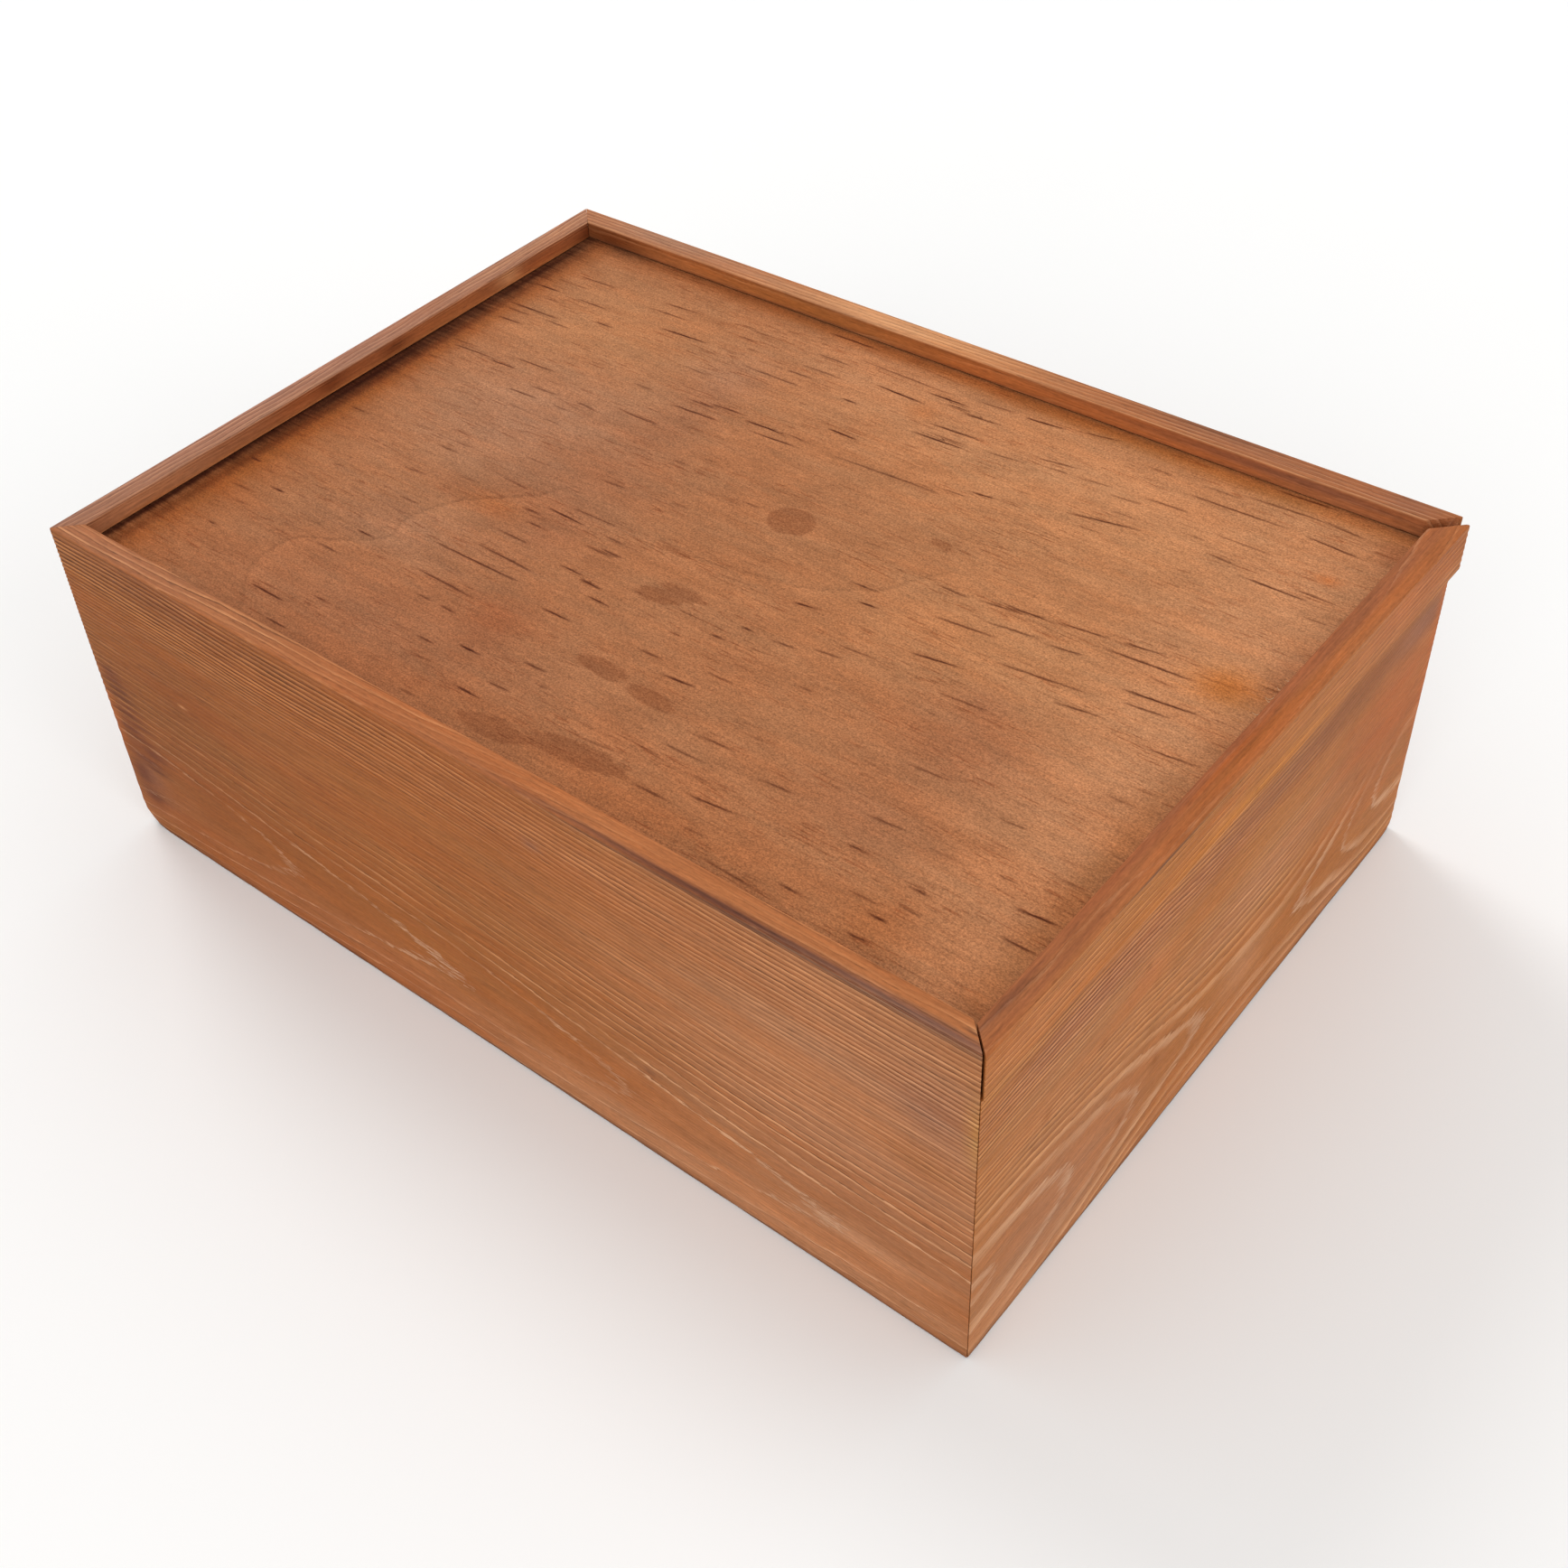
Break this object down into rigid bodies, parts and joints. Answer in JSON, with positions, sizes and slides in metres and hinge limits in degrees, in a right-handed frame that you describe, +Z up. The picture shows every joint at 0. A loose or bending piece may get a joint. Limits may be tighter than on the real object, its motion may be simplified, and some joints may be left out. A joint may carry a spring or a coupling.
{
  "type": "keepsake box",
  "caption": "Rectangular wooden keepsake box with mitred walls and a recessed lid panel that slides out of its grooves at one end together with its top rail.",
  "frame": {"origin": "middle of the box's underside, on the surface that it stands on", "axes": "+X along the box towards the end where the lid slides out, +Y across the box towards the far long wall, +Z up"},
  "size_m": [0.3531, 0.2516, 0.1284],
  "materials": {
    "wall_wood": "stained and wire-brushed softwood, satin",
    "rail_wood": "stained softwood, satin",
    "lid_plywood": "stained plywood with a mottled open-pored veneer",
    "bottom_plywood": "lightly stained plywood"
  },
  "bodies": {
    "box": {"near_wall": "wall_wood", "far_wall": "wall_wood", "closed_end_wall": "wall_wood", "open_end_wall": "wall_wood", "bottom_panel": "bottom_plywood"},
    "lid": {"lid_panel": "lid_plywood", "lid_rail": "rail_wood"}
  },
  "joints": [
    {"name": "lid_slide", "type": "slide", "parent": "box", "child": "lid", "axis": [1, 0, 0], "range_m": [0, 0.35]}
  ]
}
